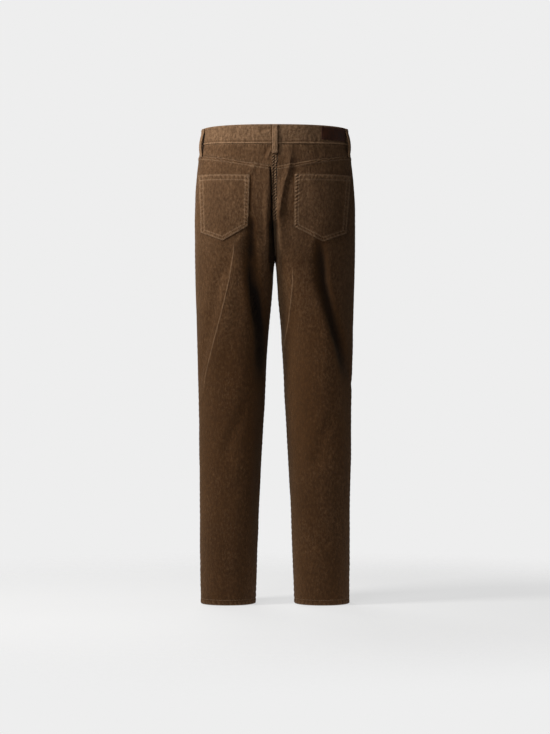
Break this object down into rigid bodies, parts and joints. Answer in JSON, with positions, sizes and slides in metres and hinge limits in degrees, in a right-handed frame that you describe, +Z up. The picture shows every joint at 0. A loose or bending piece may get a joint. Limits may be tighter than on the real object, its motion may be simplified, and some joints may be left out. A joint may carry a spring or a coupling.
{
  "type": "corduroy trousers",
  "caption": "Slim straight corduroy trousers in the five-pocket cut, filled out as worn with no wearer, open at waist and hems, closed at the fly.",
  "frame": {"origin": "the middle of the waist ring, at half the waistband's height, where the wearer's waist holds the garment", "axes": "+Z up along the body towards the waist opening, +Y towards the garment's back, +X towards the wearer's left"},
  "size_m": [0.3528, 0.2412, 1.0405],
  "materials": {
    "corduroy": "dark brown cotton corduroy with a fine lengthwise wale and a soft nap",
    "leather": "dark maroon-brown smooth leather, bare",
    "metal": "aged brass"
  },
  "bodies": {
    "root": {"back_left": "corduroy", "back_right": "corduroy", "yoke_left": "corduroy", "yoke_right": "corduroy", "front_left": "corduroy", "front_right": "corduroy", "pocket_facing_left": "corduroy", "pocket_facing_right": "corduroy", "back_pocket_left": "corduroy", "back_pocket_right": "corduroy", "waistband": "corduroy", "belt_loop_centre_back": "corduroy", "belt_loop_back_left": "corduroy", "belt_loop_back_right": "corduroy", "belt_loop_front_left": "corduroy", "belt_loop_front_right": "corduroy", "waist_patch": "leather", "waist_button": "metal"}
  },
  "joints": []
}
